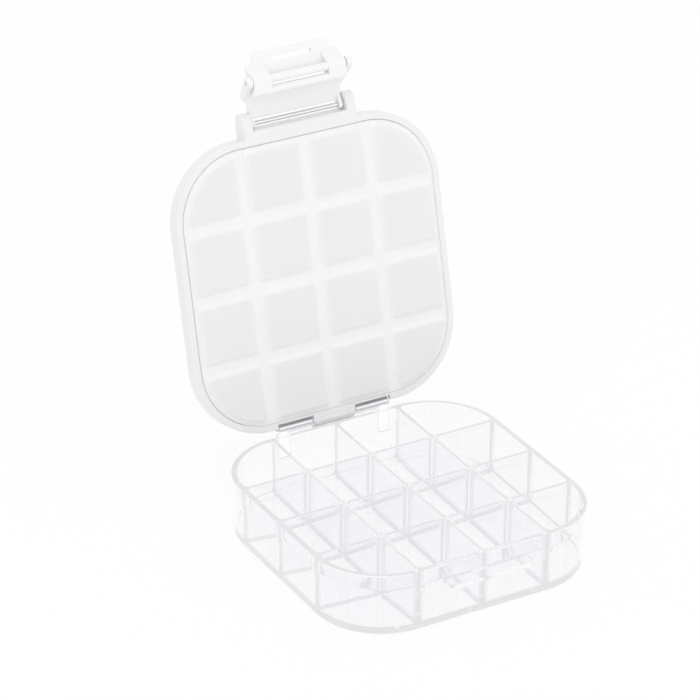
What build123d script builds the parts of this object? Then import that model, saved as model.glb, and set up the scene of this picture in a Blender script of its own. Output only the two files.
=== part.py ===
from build123d import *
from math import atan2, cos, degrees, hypot, radians, sin
import os

# Paint storage box: a clear compartment tray, a hinged white lid with a silicone
# seal pad, and an over-centre draw latch. Millimetres, +Z up. The origin is the centre
# of the tray's base. X runs along the hinge, and the hinge is at +Y. The lid stands
# open, as it rests on the hinge's stop, and the latch hangs open from its free edge.

os.makedirs("parts", exist_ok=True)

# Tray
tray_width = 103.8
tray_height = 23.6
tray_corner_radius = 26.0
floor_thickness = 2.6
rim_wall = 2.1
rim_band_height = 6.0
rim_band_proud = 0.8
rim_band_slope = 1.4
wall_draft = 0.5
base_edge_chamfer = 1.0
rim_edge_radius = 0.5

# Compartments
compartments_along_side = 4
divider_thickness = 1.4
pocket_draft = 0.8
pocket_floor_chamfer = 0.9

# Lid
lid_overhang = 0.5
lid_thickness = 6.6
lid_corner_larger = 1.0
lid_rim_face = 2.5
lid_plate = 1.7
lid_edge_radius = 1.8
lid_small_radius = 0.4
lid_gap = 0.15
lid_rib_thickness = 1.2
pad_ledge_width = 1.6
lid_open_angle = 103.5

# Seal pad
pad_thickness = 2.2
pad_recess = 0.1
pad_side_clearance = 0.1
pad_block_height = 1.0
pad_block_inset = 1.1
pad_block_draft = 12.0

# Hinge
hinge_axis_behind_rim = 1.0
hinge_axis_above_rim = 2.2
hinge_pin_diameter = 1.8
hinge_knuckle_radius = 2.1
hinge_knuckle_width = 16.8
hinge_ear_width = 4.5
hinge_ear_spacing = 40.5
hinge_ear_drop = 8.0
hinge_foot_radius = 0.8
hinge_notch_clearance = 0.25
stop_nib_radius = 2.8
stop_nib_thickness = 1.3
stop_gap = 0.05

# Latch pins and running fits
latch_pin_diameter = 1.6
running_clearance = 0.05
side_clearance = 0.3
pin_end_recess = 0.2
blind_end_wall = 1.0

# Lid's latch boss and ears
latch_boss_width = 44.6
latch_boss_reach = 2.75
latch_boss_root = 1.2
latch_ear_width = 3.7
latch_ear_radius = 3.15
latch_ear_tip = 1.5
latch_ear_tip_radius = 2.7
latch_pin_reach = 4.7

# Front catch
catch_underside = 16.2
catch_thickness = 1.7
catch_width = 32.8
catch_corner_radius = 2.4
catch_lip_width = 27.0
catch_lip_depth = 0.6
catch_lip_thickness = 0.6
catch_panel_proud = 0.4
catch_panel_height = 8.6
catch_panel_foot = 21.2
catch_root = 0.6

# Latch yoke
yoke_cheek_width = 2.0
yoke_cheek_radius = 2.0
yoke_plate = 1.5
yoke_plate_clearance = 0.25
yoke_plate_bottom = 15.5
yoke_knuckle_radius = 1.6
yoke_knuckle_width = 1.6
yoke_window_edge = 1.4
yoke_lug_height = 2.4
yoke_lug_slope = 2.2
yoke_corner_radius = 0.7
yoke_open_angle = 81.5

# Latch lever
hook_bar_radius = 1.5
hook_bar_from_wall = 3.7
hook_bar_gap = 0.2
hook_bar_to_lip = 0.15
hook_bar_to_pin = 3.8
over_centre = 0.3
lever_barrel_radius = 1.5
lever_barrel_gap = 0.4
lever_plate = 1.5
lever_plate_above_pin = 1.0
lever_arm_width = 7.0
lever_arm_radius = 1.8
lever_arm_reach = 5.4
lever_taper = 1.8
lever_tip_width = 30.0
lever_tip_corner_radius = 1.5
lever_window_width = 16.0
lever_window_height = 1.6
lever_window_below_pin = 6.8
lever_open_angle = 25.0
lever_ground_gap = 0.6

# Tray levels and half widths
rim_half = tray_width / 2
body_half = rim_half - rim_band_proud
inner_half = rim_half - rim_wall
inner_corner_radius = tray_corner_radius - rim_wall
rim_band_bottom = tray_height - rim_band_height
pocket_depth = tray_height - floor_thickness
pitch = (2 * inner_half + divider_thickness) / compartments_along_side
cell_width = pitch - divider_thickness

# Lid levels and half widths, with the lid closed
lid_half = rim_half + lid_overhang
lid_corner_radius = tray_corner_radius + lid_corner_larger
lid_face = tray_height + lid_gap
lid_top = lid_face + lid_thickness
recess_half = lid_half - lid_rim_face
recess_radius = lid_corner_radius - lid_rim_face
pad_face = lid_face + pad_recess
pad_back = pad_face + pad_thickness
pad_half = recess_half - pad_side_clearance

# Hinge axis
hinge_y = rim_half + hinge_axis_behind_rim
hinge_z = tray_height + hinge_axis_above_rim
hinge_pin_length = hinge_ear_spacing + hinge_ear_width - 2 * pin_end_recess

# Latch axes, with everything closed: a is the yoke's pin in the lid's ears, c is the
# hook bar under the catch, and b is the lever's pin in the yoke's cheeks. The line
# from a to b passes c on the tray's side, so the pull of the lid keeps the lever shut.
a_y = -(lid_half + latch_pin_reach)
a_z = lid_face + lid_thickness / 2
c_y = -(body_half + hook_bar_from_wall)
c_z = catch_underside - hook_bar_gap - hook_bar_radius
reach_ac = hypot(c_y - a_y, c_z - a_z)
pull_y = (c_y - a_y) / reach_ac
pull_z = (c_z - a_z) / reach_ac
b_y = c_y + hook_bar_to_pin * pull_y - over_centre * pull_z
b_z = c_z + hook_bar_to_pin * pull_z + over_centre * pull_y

# Latch levels and widths
catch_lip_inner = c_y - hook_bar_radius - hook_bar_to_lip
catch_front = catch_lip_inner - catch_lip_thickness
ear_inner = latch_boss_width / 2 - latch_ear_width
knuckle_outer = ear_inner - side_clearance
lever_half = knuckle_outer
cheek_inner = lever_half + side_clearance
cheek_outer = cheek_inner + yoke_cheek_width
yoke_inner_face = catch_front - yoke_plate_clearance
yoke_outer_face = yoke_inner_face - yoke_plate
lever_pin_length = 2 * cheek_outer - 2 * pin_end_recess
lever_inner_face = b_y - lever_barrel_radius - lever_barrel_gap
lever_middle = lever_inner_face - lever_plate / 2
lever_top = b_z + lever_plate_above_pin


def swing(y, z, angle):
    """Turn about the line along X through (y, z)."""
    return Pos(0, y, z) * Rot(angle, 0, 0) * Pos(0, -y, -z)


def placed(plane, move):
    """A plane of the closed box, carried to where it is at rest."""
    return Plane(move * plane.location)


lid_move = swing(hinge_y, hinge_z, -lid_open_angle)
yoke_move = lid_move * swing(a_y, a_z, -yoke_open_angle)
lever_move = yoke_move * swing(b_y, b_z, -lever_open_angle)

# Side planes, whose sketches use the closed box's Y and Z
lid_side = placed(Plane.YZ, lid_move)
yoke_side = placed(Plane.YZ, yoke_move)
lever_side = placed(Plane.YZ, lever_move)
lid_up = Axis((0, hinge_y, hinge_z), placed(Plane.XY, lid_move).z_dir)


def lid_level(z):
    """A level of the closed lid, carried to where it is at rest."""
    return placed(Plane.XY.offset(z), lid_move)


def cell_centres():
    """Middle of every compartment."""
    first = -(compartments_along_side - 1) / 2
    steps = [(first + k) * pitch for k in range(compartments_along_side)]
    return [(x, y) for x in steps for y in steps]


def wall_lines():
    """Middle of every divider, along either side."""
    return [(k - compartments_along_side / 2) * pitch for k in range(1, compartments_along_side)]


# Tray
with BuildPart() as tray:
    with BuildSketch(Plane.XY.offset(rim_band_bottom + rim_band_slope)):
        RectangleRounded(tray_width, tray_width, tray_corner_radius)
    extrude(amount=rim_band_height - rim_band_slope)
    with BuildSketch(Plane.XY.offset(rim_band_bottom + rim_band_slope)):
        RectangleRounded(tray_width, tray_width, tray_corner_radius)
    extrude(amount=-rim_band_slope, taper=degrees(atan2(rim_band_proud, rim_band_slope)))
    with BuildSketch(Plane.XY.offset(rim_band_bottom)):
        RectangleRounded(2 * body_half, 2 * body_half, tray_corner_radius - rim_band_proud)
    extrude(amount=-rim_band_bottom, taper=wall_draft)
    chamfer(tray.faces().sort_by(Axis.Z)[0].edges(), base_edge_chamfer)
    fillet(tray.faces().sort_by(Axis.Z)[-1].edges(), rim_edge_radius)
    # Compartments, each a drafted pocket with a chamfered floor
    for x, y in cell_centres():
        with BuildSketch(Plane.XY.offset(tray_height)):
            with Locations((x, y)):
                Rectangle(cell_width, cell_width)
            RectangleRounded(2 * inner_half, 2 * inner_half, inner_corner_radius, mode=Mode.INTERSECT)
        extrude(amount=-pocket_depth, taper=pocket_draft, mode=Mode.SUBTRACT)
    pocket_floors = tray.faces().filter_by(
        lambda face: abs(face.center().Z - floor_thickness) < 0.001 and face.normal_at().Z > 0.99
    )
    chamfer(pocket_floors.edges(), pocket_floor_chamfer)
    # Catch: a panel on the front wall, a shelf over it and a lip under the shelf's edge
    with BuildSketch(Plane.XZ.offset(body_half - catch_root)):
        with BuildLine():
            right = Line((catch_width / 2, catch_underside), (-catch_width / 2, catch_underside))
            left_end = SagittaArc(right @ 1, (-catch_panel_foot / 2, catch_underside - catch_panel_height), 1.6)
            foot = Line(left_end @ 1, (catch_panel_foot / 2, catch_underside - catch_panel_height))
            SagittaArc(foot @ 1, right @ 0, 1.6)
        make_face()
    extrude(amount=catch_root + catch_panel_proud)
    with BuildSketch(Plane.XY.offset(catch_underside)):
        with BuildLine():
            Polyline(
                (-catch_width / 2, -body_half + catch_root),
                (-catch_width / 2, catch_front),
                (catch_width / 2, catch_front),
                (catch_width / 2, -body_half + catch_root),
                close=True,
            )
        shelf_face = make_face()
        fillet(shelf_face.vertices().group_by(Axis.Y)[0], catch_corner_radius)
    extrude(amount=catch_thickness)
    with BuildSketch(Plane.XY.offset(catch_underside)):
        with Locations((0, catch_front)):
            Rectangle(catch_lip_width, catch_lip_thickness, align=(Align.CENTER, Align.MIN))
    extrude(amount=-catch_lip_depth)
    # Hinge ears, bored for the pin
    for side in (-1, 1):
        ear_start = side * hinge_ear_spacing / 2 - hinge_ear_width / 2
        with BuildSketch(Plane.YZ.offset(ear_start)):
            with Locations((hinge_y, hinge_z)):
                Circle(hinge_knuckle_radius)
            with Locations((rim_half - hinge_foot_radius, tray_height - hinge_ear_drop)):
                Circle(hinge_foot_radius)
            make_hull()
        extrude(amount=hinge_ear_width)
    with BuildSketch(Plane.YZ):
        with Locations((hinge_y, hinge_z)):
            Circle(hinge_pin_diameter / 2)
    extrude(amount=hinge_ear_spacing / 2 + hinge_ear_width, both=True, mode=Mode.SUBTRACT)
tray.part.label = "tray"

# Hinge pin
with BuildPart() as hinge_pin:
    with BuildSketch(Plane.YZ):
        with Locations((hinge_y, hinge_z)):
            Circle(hinge_pin_diameter / 2)
    extrude(amount=hinge_pin_length / 2, both=True)
hinge_pin.part.label = "hinge_pin"

# Lid
with BuildPart() as lid:
    with BuildSketch(lid_level(lid_face)):
        RectangleRounded(2 * lid_half, 2 * lid_half, lid_corner_radius)
    extrude(amount=lid_thickness)
    fillet(lid.faces().sort_by(lid_up)[-1].edges(), lid_edge_radius)
    # Latch boss across the free edge
    with BuildSketch(lid_side):
        with Locations((-(lid_half + latch_boss_reach), lid_face)):
            Rectangle(latch_boss_reach + latch_boss_root, lid_thickness, align=(Align.MIN, Align.MIN))
        fillet(vertices().group_by(Axis.X)[0], lid_small_radius)
    extrude(amount=latch_boss_width / 2, both=True)
    for start in (-latch_boss_width / 2, latch_boss_width / 2 - latch_ear_width):
        with BuildSketch(lid_side.offset(start)):
            with Locations((a_y, a_z)):
                Circle(latch_ear_radius)
            with Locations((-lid_half, a_z)):
                Circle(latch_ear_radius)
            with Locations((a_y - latch_ear_tip, a_z)):
                Circle(latch_ear_tip_radius)
            make_hull()
        extrude(amount=latch_ear_width)
    # Recess for the pad, and the pockets between the ribs behind it
    with BuildSketch(lid_level(lid_face)):
        RectangleRounded(2 * recess_half, 2 * recess_half, recess_radius)
    extrude(amount=pad_back - lid_face, mode=Mode.SUBTRACT)
    with BuildSketch(lid_level(pad_back)):
        RectangleRounded(
            2 * (recess_half - pad_ledge_width),
            2 * (recess_half - pad_ledge_width),
            recess_radius - pad_ledge_width,
        )
        with Locations(*[(x, 0) for x in wall_lines()]):
            Rectangle(lid_rib_thickness, 2 * recess_half, mode=Mode.SUBTRACT)
        with Locations(*[(0, y) for y in wall_lines()]):
            Rectangle(2 * recess_half, lid_rib_thickness, mode=Mode.SUBTRACT)
    extrude(amount=lid_top - lid_plate - pad_back, mode=Mode.SUBTRACT)
    # Notches for the tray's ears, which leave the pin bare between knuckle and ear
    notch_radius = hinge_knuckle_radius + hinge_notch_clearance
    notch_end = hinge_ear_spacing / 2 + hinge_ear_width / 2 + side_clearance
    notch_width = notch_end - hinge_knuckle_width / 2
    for start in (-notch_end, hinge_knuckle_width / 2):
        with BuildSketch(lid_side.offset(start)):
            with Locations((hinge_y, hinge_z)):
                Circle(notch_radius)
                Rectangle(2 * notch_radius, 2 * notch_radius, align=(Align.CENTER, Align.MAX))
        extrude(amount=notch_width, mode=Mode.SUBTRACT)
    # Hinge knuckle, and the nib that meets the tray's rim when the lid is open
    with BuildSketch(lid_side):
        with Locations((hinge_y, hinge_z)):
            Circle(hinge_knuckle_radius)
        with Locations((lid_half - lid_rim_face / 2, hinge_z + hinge_knuckle_radius)):
            Circle(lid_rim_face / 2 - lid_small_radius)
        with Locations((lid_half - lid_rim_face / 2, lid_face + lid_rim_face / 2)):
            Circle(lid_rim_face / 2 - lid_small_radius)
        make_hull()
    extrude(amount=hinge_knuckle_width / 2, both=True)
    with BuildSketch(Plane.YZ):
        with Locations((hinge_y, hinge_z)):
            Circle(stop_nib_radius)
        with Locations((rim_half + stop_gap, hinge_z)):
            Rectangle(
                stop_nib_thickness, stop_nib_radius, align=(Align.MIN, Align.MAX), mode=Mode.INTERSECT
            )
    extrude(amount=hinge_knuckle_width / 2, both=True)
    with BuildSketch(lid_side):
        with Locations((hinge_y, hinge_z)):
            Circle(hinge_pin_diameter / 2 + running_clearance)
    extrude(amount=hinge_knuckle_width / 2, both=True, mode=Mode.SUBTRACT)
    # Bore for the yoke's pin, blind at one end
    with BuildSketch(lid_side.offset(blind_end_wall - latch_boss_width / 2)):
        with Locations((a_y, a_z)):
            Circle(latch_pin_diameter / 2)
    extrude(amount=latch_boss_width - blind_end_wall, mode=Mode.SUBTRACT)
lid.part.label = "lid"

# Seal pad, with a raised square over every compartment
with BuildPart() as seal_pad:
    with BuildSketch(lid_level(pad_face)):
        RectangleRounded(2 * pad_half, 2 * pad_half, recess_radius - pad_side_clearance)
    extrude(amount=pad_thickness)
    for x, y in cell_centres():
        with BuildSketch(lid_level(pad_face)):
            with Locations((x, y)):
                Rectangle(cell_width, cell_width)
            RectangleRounded(2 * inner_half, 2 * inner_half, inner_corner_radius, mode=Mode.INTERSECT)
            offset(amount=-pad_block_inset, kind=Kind.INTERSECTION, mode=Mode.REPLACE)
        extrude(amount=-pad_block_height, taper=pad_block_draft)
seal_pad.part.label = "seal_pad"

# Yoke pin, in the lid's ears
with BuildPart() as yoke_pin:
    with BuildSketch(lid_side.offset(blind_end_wall - latch_boss_width / 2)):
        with Locations((a_y, a_z)):
            Circle(latch_pin_diameter / 2)
    extrude(amount=latch_boss_width - blind_end_wall - pin_end_recess)
yoke_pin.part.label = "yoke_pin"

# Latch yoke: a plate that hangs clear of the catch, two knuckles, and two lugs beside the lever
with BuildPart() as latch_yoke:
    plate_top = a_z - yoke_window_edge
    lug_side = yoke_plate_bottom + yoke_lug_height
    shoulder = a_z - latch_ear_radius - side_clearance
    with BuildSketch(placed(Plane.XZ.offset(-yoke_inner_face), yoke_move)) as plate_outline:
        with BuildLine():
            Polyline(
                (-knuckle_outer, plate_top),
                (-knuckle_outer, lug_side + yoke_lug_slope),
                (-cheek_outer, lug_side),
                (-cheek_outer, yoke_plate_bottom),
                (cheek_outer, yoke_plate_bottom),
                (cheek_outer, lug_side),
                (knuckle_outer, lug_side + yoke_lug_slope),
                (knuckle_outer, plate_top),
                close=True,
            )
        make_face()
        fillet(plate_outline.vertices().group_by(Axis.Y)[0], yoke_corner_radius)
    extrude(amount=yoke_plate)
    for start in (-knuckle_outer, knuckle_outer - yoke_knuckle_width):
        with BuildSketch(yoke_side.offset(start)):
            with Locations((a_y, a_z)):
                Circle(yoke_knuckle_radius)
            with Locations((yoke_outer_face + yoke_plate / 2, shoulder)):
                Circle(yoke_plate / 2)
            make_hull()
        extrude(amount=yoke_knuckle_width)
    for start in (-cheek_outer, cheek_inner):
        with BuildSketch(yoke_side.offset(start)):
            with Locations((b_y, b_z)):
                Circle(yoke_cheek_radius)
            with Locations((yoke_outer_face + yoke_plate / 2, lug_side - yoke_plate / 2)):
                Rectangle(yoke_plate, yoke_plate)
            make_hull()
        extrude(amount=yoke_cheek_width)
    with BuildSketch(yoke_side):
        with Locations((a_y, a_z)):
            Circle(latch_pin_diameter / 2 + running_clearance)
    extrude(amount=knuckle_outer, both=True, mode=Mode.SUBTRACT)
    with BuildSketch(yoke_side):
        with Locations((b_y, b_z)):
            Circle(latch_pin_diameter / 2)
    extrude(amount=cheek_outer, both=True, mode=Mode.SUBTRACT)
latch_yoke.part.label = "latch_yoke"

# Lever pin, in the yoke's cheeks
with BuildPart() as lever_pin:
    with BuildSketch(yoke_side):
        with Locations((b_y, b_z)):
            Circle(latch_pin_diameter / 2)
    extrude(amount=lever_pin_length / 2, both=True)
lever_pin.part.label = "lever_pin"

# Latch lever: a handle plate, and two arms that carry the barrel and the round hook bar
with BuildPart() as latch_lever:
    with BuildSketch(placed(Plane.XZ.offset(-lever_inner_face), lever_move)) as handle_outline:
        with BuildLine():
            Polyline(
                (-lever_half, lever_top),
                (-lever_half, b_z - lever_arm_reach),
                (-lever_tip_width / 2, b_z - lever_arm_reach - lever_taper),
                (-lever_tip_width / 2, lever_ground_gap),
                (lever_tip_width / 2, lever_ground_gap),
                (lever_tip_width / 2, b_z - lever_arm_reach - lever_taper),
                (lever_half, b_z - lever_arm_reach),
                (lever_half, lever_top),
                close=True,
            )
        make_face()
        fillet(handle_outline.vertices().group_by(Axis.Y)[0], lever_tip_corner_radius)
        with Locations((0, b_z - lever_window_below_pin)):
            RectangleRounded(
                lever_window_width, lever_window_height, lever_window_height / 3, mode=Mode.SUBTRACT
            )
    extrude(amount=lever_plate)
    for start in (-lever_half, lever_half - lever_arm_width):
        with BuildSketch(lever_side.offset(start)):
            with Locations((b_y, b_z)):
                Circle(lever_arm_radius)
            with Locations((c_y, c_z)):
                Circle(hook_bar_radius)
            with Locations((lever_middle, lever_top - lever_plate / 2)):
                Circle(lever_plate / 2)
            with Locations((lever_middle, b_z - lever_arm_reach)):
                Circle(lever_plate / 2)
            make_hull()
        extrude(amount=lever_arm_width)
    with BuildSketch(lever_side):
        with Locations((b_y, b_z)):
            Circle(lever_barrel_radius)
        with Locations((c_y, c_z)):
            Circle(hook_bar_radius)
    extrude(amount=lever_half, both=True)
    with BuildSketch(lever_side):
        with Locations((b_y, b_z)):
            Circle(latch_pin_diameter / 2 + running_clearance)
    extrude(amount=lever_half, both=True, mode=Mode.SUBTRACT)
latch_lever.part.label = "latch_lever"

export_step(tray.part, "parts/tray.step")
export_step(hinge_pin.part, "parts/hinge_pin.step")
export_step(lid.part, "parts/lid.step")
export_step(seal_pad.part, "parts/seal_pad.step")
export_step(yoke_pin.part, "parts/yoke_pin.step")
export_step(latch_yoke.part, "parts/latch_yoke.step")
export_step(lever_pin.part, "parts/lever_pin.step")
export_step(latch_lever.part, "parts/latch_lever.step")

rest_a = (lid_move * Pos(0, a_y, a_z)).position
rest_b = (yoke_move * Pos(0, b_y, b_z)).position
print("Yoke's pin at rest, Y and Z:", round(rest_a.Y, 4), round(rest_a.Z, 4))
print("Lever's pin at rest, Y and Z:", round(rest_b.Y, 4), round(rest_b.Z, 4))
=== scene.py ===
# %% [markdown]
# # A clear paint box with a white lid
# This file dresses a small compartment box for paints. The tray is one clear
# polystyrene moulding, the lid and the latch are white ABS, a silicone pad seals the
# compartments, and three steel wires are the hinge pins. We load the solids first,
# because every surface has to sit where they are.

# %% Load the solids
from math import cos, pi, radians, sin

import bmesh
import bpy
import numpy as np
from mathutils import Matrix, Vector


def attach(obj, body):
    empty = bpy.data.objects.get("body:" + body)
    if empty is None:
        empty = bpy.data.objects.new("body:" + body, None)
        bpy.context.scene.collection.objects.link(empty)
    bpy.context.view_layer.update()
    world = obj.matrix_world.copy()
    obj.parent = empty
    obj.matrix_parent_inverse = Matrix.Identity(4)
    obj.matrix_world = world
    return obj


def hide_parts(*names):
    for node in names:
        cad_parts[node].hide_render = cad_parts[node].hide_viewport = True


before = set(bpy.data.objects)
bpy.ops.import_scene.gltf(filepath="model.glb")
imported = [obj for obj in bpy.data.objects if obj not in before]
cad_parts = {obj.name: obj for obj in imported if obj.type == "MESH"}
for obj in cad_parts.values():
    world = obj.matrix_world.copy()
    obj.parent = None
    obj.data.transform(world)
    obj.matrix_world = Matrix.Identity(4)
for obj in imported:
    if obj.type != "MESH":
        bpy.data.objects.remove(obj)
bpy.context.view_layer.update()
MM = 0.001
print("nodes", sorted(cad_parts))

# %% [markdown]
# ## The camera
# A long lens from well away keeps the box nearly without perspective, as a product
# photograph does. We aim it by angles and a distance, and look slightly past the
# middle of the tray, so that the open lid has room above.

# %% Place the camera
AZIMUTH = radians(-29.96)
ELEVATION = radians(27.82)
ROLL = radians(0.39)
DISTANCE = 1302.5 * MM
LOOK_RIGHT = -20.33 * MM
LOOK_UP = 64.98 * MM
AIM_HEIGHT = 2.6 * MM
LENS = 192.4


def place_camera():
    """Camera at DISTANCE along the viewing direction, slid sideways and up in its own plane."""
    back = Vector((sin(AZIMUTH) * cos(ELEVATION), -cos(AZIMUTH) * cos(ELEVATION), sin(ELEVATION)))
    right = (-back).cross(Vector((0, 0, 1))).normalized()
    up = right.cross(-back)
    spot = back * DISTANCE + right * LOOK_RIGHT + up * LOOK_UP + Vector((0, 0, AIM_HEIGHT))
    turned_right = right * cos(ROLL) + up * sin(ROLL)
    turned_up = -right * sin(ROLL) + up * cos(ROLL)
    data = bpy.data.cameras.new("camera")
    data.lens = LENS
    data.clip_end = 20
    camera = bpy.data.objects.new("camera", data)
    bpy.context.scene.collection.objects.link(camera)
    camera.matrix_world = Matrix((
        (turned_right.x, turned_up.x, back.x, spot.x),
        (turned_right.y, turned_up.y, back.y, spot.y),
        (turned_right.z, turned_up.z, back.z, spot.z),
        (0, 0, 0, 1),
    ))
    bpy.context.scene.camera = camera
    return camera


camera = place_camera()
print("camera at", [round(v, 4) for v in camera.matrix_world.translation])

# %% [markdown]
# ## Putting numpy surfaces into Blender
# A surface here is a function of two parameters, worked out for a whole grid at
# once. Two helpers turn grids into meshes: one lists the quads of a grid, and one
# writes points and quads into a mesh in one go, welds the seams and points all
# faces outwards.

# %% Grid helpers
SMOOTH_ANGLE = radians(32)


def grid_quads(rows, columns, first=0):
    """Quads of a grid whose point (r, c) is number first + r * columns + c."""
    r, c = np.meshgrid(np.arange(rows - 1), np.arange(columns - 1), indexing="ij")
    a = first + r * columns + c
    return np.stack([a, a + 1, a + columns + 1, a + columns], -1).reshape(-1, 4)


def join_grids(grids):
    """Points and quads of several grids of shape (rows, columns, 3), as one pair of arrays."""
    points = []
    quads = []
    count = 0
    for grid in grids:
        quads.append(grid_quads(grid.shape[0], grid.shape[1], count))
        points.append(grid.reshape(-1, 3))
        count += grid.shape[0] * grid.shape[1]
    return np.concatenate(points), np.concatenate(quads)


def make_object(name, points, quads, weld=1e-6):
    """Mesh object from points in metres and quads, welded, closed and facing outwards."""
    mesh = bpy.data.meshes.new(name)
    mesh.vertices.add(len(points))
    mesh.vertices.foreach_set("co", np.ascontiguousarray(points, dtype=np.float32).ravel())
    mesh.loops.add(4 * len(quads))
    mesh.loops.foreach_set("vertex_index", np.ascontiguousarray(quads, dtype=np.int32).ravel())
    mesh.polygons.add(len(quads))
    mesh.polygons.foreach_set("loop_start", np.arange(0, 4 * len(quads), 4, dtype=np.int32))
    mesh.update(calc_edges=True)
    work = bmesh.new()
    work.from_mesh(mesh)
    bmesh.ops.remove_doubles(work, verts=work.verts, dist=weld)
    bmesh.ops.dissolve_degenerate(work, dist=weld / 4, edges=work.edges)
    bmesh.ops.recalc_face_normals(work, faces=work.faces)
    work.to_mesh(mesh)
    work.free()
    thing = bpy.data.objects.new(name, mesh)
    bpy.context.scene.collection.objects.link(thing)
    return thing


def soften(thing, angle=SMOOTH_ANGLE):
    """Smooth shading that stays flat on flat faces: edges sharper than the angle stay sharp."""
    mesh = thing.data
    mesh.polygons.foreach_set("use_smooth", np.ones(len(mesh.polygons), dtype=bool))
    mesh.set_sharp_from_angle(angle=angle)
    weigh = thing.modifiers.new("flat_faces_lead", "WEIGHTED_NORMAL")
    weigh.keep_sharp = True
    weigh.weight = 100
    mesh.update()
    return thing


def report(thing):
    """Prints how many faces a piece has, and how many of its edges don't join two faces."""
    work = bmesh.new()
    work.from_mesh(thing.data)
    loose = sum(1 for edge in work.edges if len(edge.link_faces) != 2)
    print(thing.name, "faces", len(work.faces), "open edges", loose, "volume mm3",
          round(work.calc_volume() * 1e9, 1))
    work.free()


# %% [markdown]
# ## Colours and nodes
# Colours are written as they look on a screen, in sRGB hex, and one function turns
# them to the linear values that shaders need. One more adds a node with its
# settings and links, so that a material reads as a short list.

# %% Colour and node helpers
def linear(code):
    """Linear RGBA from an sRGB hex code such as F4F4F5."""
    channels = np.array([int(code[k:k + 2], 16) for k in (0, 2, 4)]) / 255
    low = channels / 12.92
    high = ((channels + 0.055) / 1.055) ** 2.4
    return tuple(np.where(channels <= 0.04045, low, high)) + (1.0,)


def add_node(tree, kind, settings=None, **inputs):
    """Adds a node. Settings are its own properties. Inputs are values, or sockets to link
    from, under the input's name with _ for a space, or n0, n1 and so on for its number."""
    node = tree.nodes.new(kind)
    for key, value in (settings or {}).items():
        setattr(node, key, value)
    for key, value in inputs.items():
        numbered = key[0] == "n" and key[1:].isdigit()
        socket = node.inputs[int(key[1:]) if numbered else key.replace("_", " ")]
        if isinstance(value, bpy.types.NodeSocket):
            tree.links.new(value, socket)
        else:
            socket.default_value = value
    return node


def new_material(name):
    """An empty node material with its output node."""
    material = bpy.data.materials.new(name)
    material.use_nodes = True
    tree = material.node_tree
    tree.nodes.clear()
    output = tree.nodes.new("ShaderNodeOutputMaterial")
    return material, tree, output


# %% [markdown]
# ## Clear moulded polystyrene
# Crystal polystyrene bends light strongly, with an index of 1.59, and a thick edge
# looks grey where a thin wall looks clear, because the light runs a long way in it. So
# the shader is clear with a very faint absorption in its volume, and its surface has
# the slight waviness of a moulded wall. Cycles gives up on a ray after a few
# reflections and would draw it black, which real plastic in a white room never is. So
# a ray that has turned too often gets painted light: an emission glow in the pale grey
# that such light really has. Light for shadows and for diffuse surfaces goes straight
# through, as it mostly does in a real clear box.

# %% Clear polystyrene
CLEAR_IOR = 1.59
CLEAR_ROUGHNESS = 0.03
CLEAR_SKIN = "FCFCFD"
CLEAR_INSIDE = "B0B0B2"
EDGE_GREY_PER_METRE = 2.0
TURNS_SEEN = 3.5
STEPS_SEEN = 10.5
# TRAPPED_LIGHT and FAR_LIGHT are painted glows: emission that stands in for the light Cycles drops
# inside the plastic.
TRAPPED_LIGHT = "E9E9EB"
FAR_LIGHT = "F8F8F9"
THROUGH = "FDFDFD"
WALL_WAVE = 18 * MM


def clear_polystyrene():
    """Clear shader with a wavy skin and a faint grey inside, and three ways out of it.

    After STEPS_SEEN bounces a ray sees FAR_LIGHT, a painted glow. After TURNS_SEEN
    reflections it sees TRAPPED_LIGHT, another painted glow. Shadow and diffuse rays pass,
    tinted by THROUGH.
    """
    material, tree, output = new_material("clear_polystyrene_moulded")
    place = add_node(tree, "ShaderNodeTexCoord")
    wave = add_node(tree, "ShaderNodeTexNoise", Vector=place.outputs["Object"], Scale=1 / WALL_WAVE,
                    Detail=1.0, Roughness=0.4)
    bump = add_node(tree, "ShaderNodeBump", Height=wave.outputs["Fac"], Strength=0.12,
                    Distance=0.02 * MM)
    skin = add_node(tree, "ShaderNodeBsdfPrincipled", Normal=bump.outputs["Normal"],
                    Base_Color=linear(CLEAR_SKIN), Roughness=CLEAR_ROUGHNESS, IOR=CLEAR_IOR,
                    Transmission_Weight=1.0)
    inside = add_node(tree, "ShaderNodeVolumeAbsorption", Color=linear(CLEAR_INSIDE),
                      Density=EDGE_GREY_PER_METRE)
    path = add_node(tree, "ShaderNodeLightPath")
    stray = add_node(tree, "ShaderNodeMath", {"operation": "GREATER_THAN"},
                     n0=path.outputs["Ray Depth"], n1=STEPS_SEEN)
    beyond = add_node(tree, "ShaderNodeEmission", Color=linear(FAR_LIGHT))
    seen = add_node(tree, "ShaderNodeMixShader", n0=stray.outputs[0], n1=skin.outputs[0],
                    n2=beyond.outputs[0])
    turning = add_node(tree, "ShaderNodeMath", {"operation": "GREATER_THAN"},
                       n0=path.outputs["Glossy Depth"], n1=TURNS_SEEN)
    trapped = add_node(tree, "ShaderNodeEmission", Color=linear(TRAPPED_LIGHT))
    body = add_node(tree, "ShaderNodeMixShader", n0=turning.outputs[0], n1=seen.outputs[0],
                    n2=trapped.outputs[0])
    lit = add_node(tree, "ShaderNodeMath", {"operation": "MAXIMUM"},
                   n0=path.outputs["Is Shadow Ray"], n1=path.outputs["Is Diffuse Ray"])
    clear = add_node(tree, "ShaderNodeBsdfTransparent", Color=linear(THROUGH))
    mix = add_node(tree, "ShaderNodeMixShader", n0=lit.outputs[0], n1=body.outputs[0],
                   n2=clear.outputs[0])
    tree.links.new(mix.outputs[0], output.inputs["Surface"])
    tree.links.new(inside.outputs["Volume"], output.inputs["Volume"])
    return material


# %% [markdown]
# ## White moulded ABS
# The lid and the latch are opaque white ABS from a finely textured tool. The gloss
# is soft, the grain is far finer than a pixel, and the white is a neutral one. The
# grain is drawn coarser than the real 0.05 mm, so that it shows at all.

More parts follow.
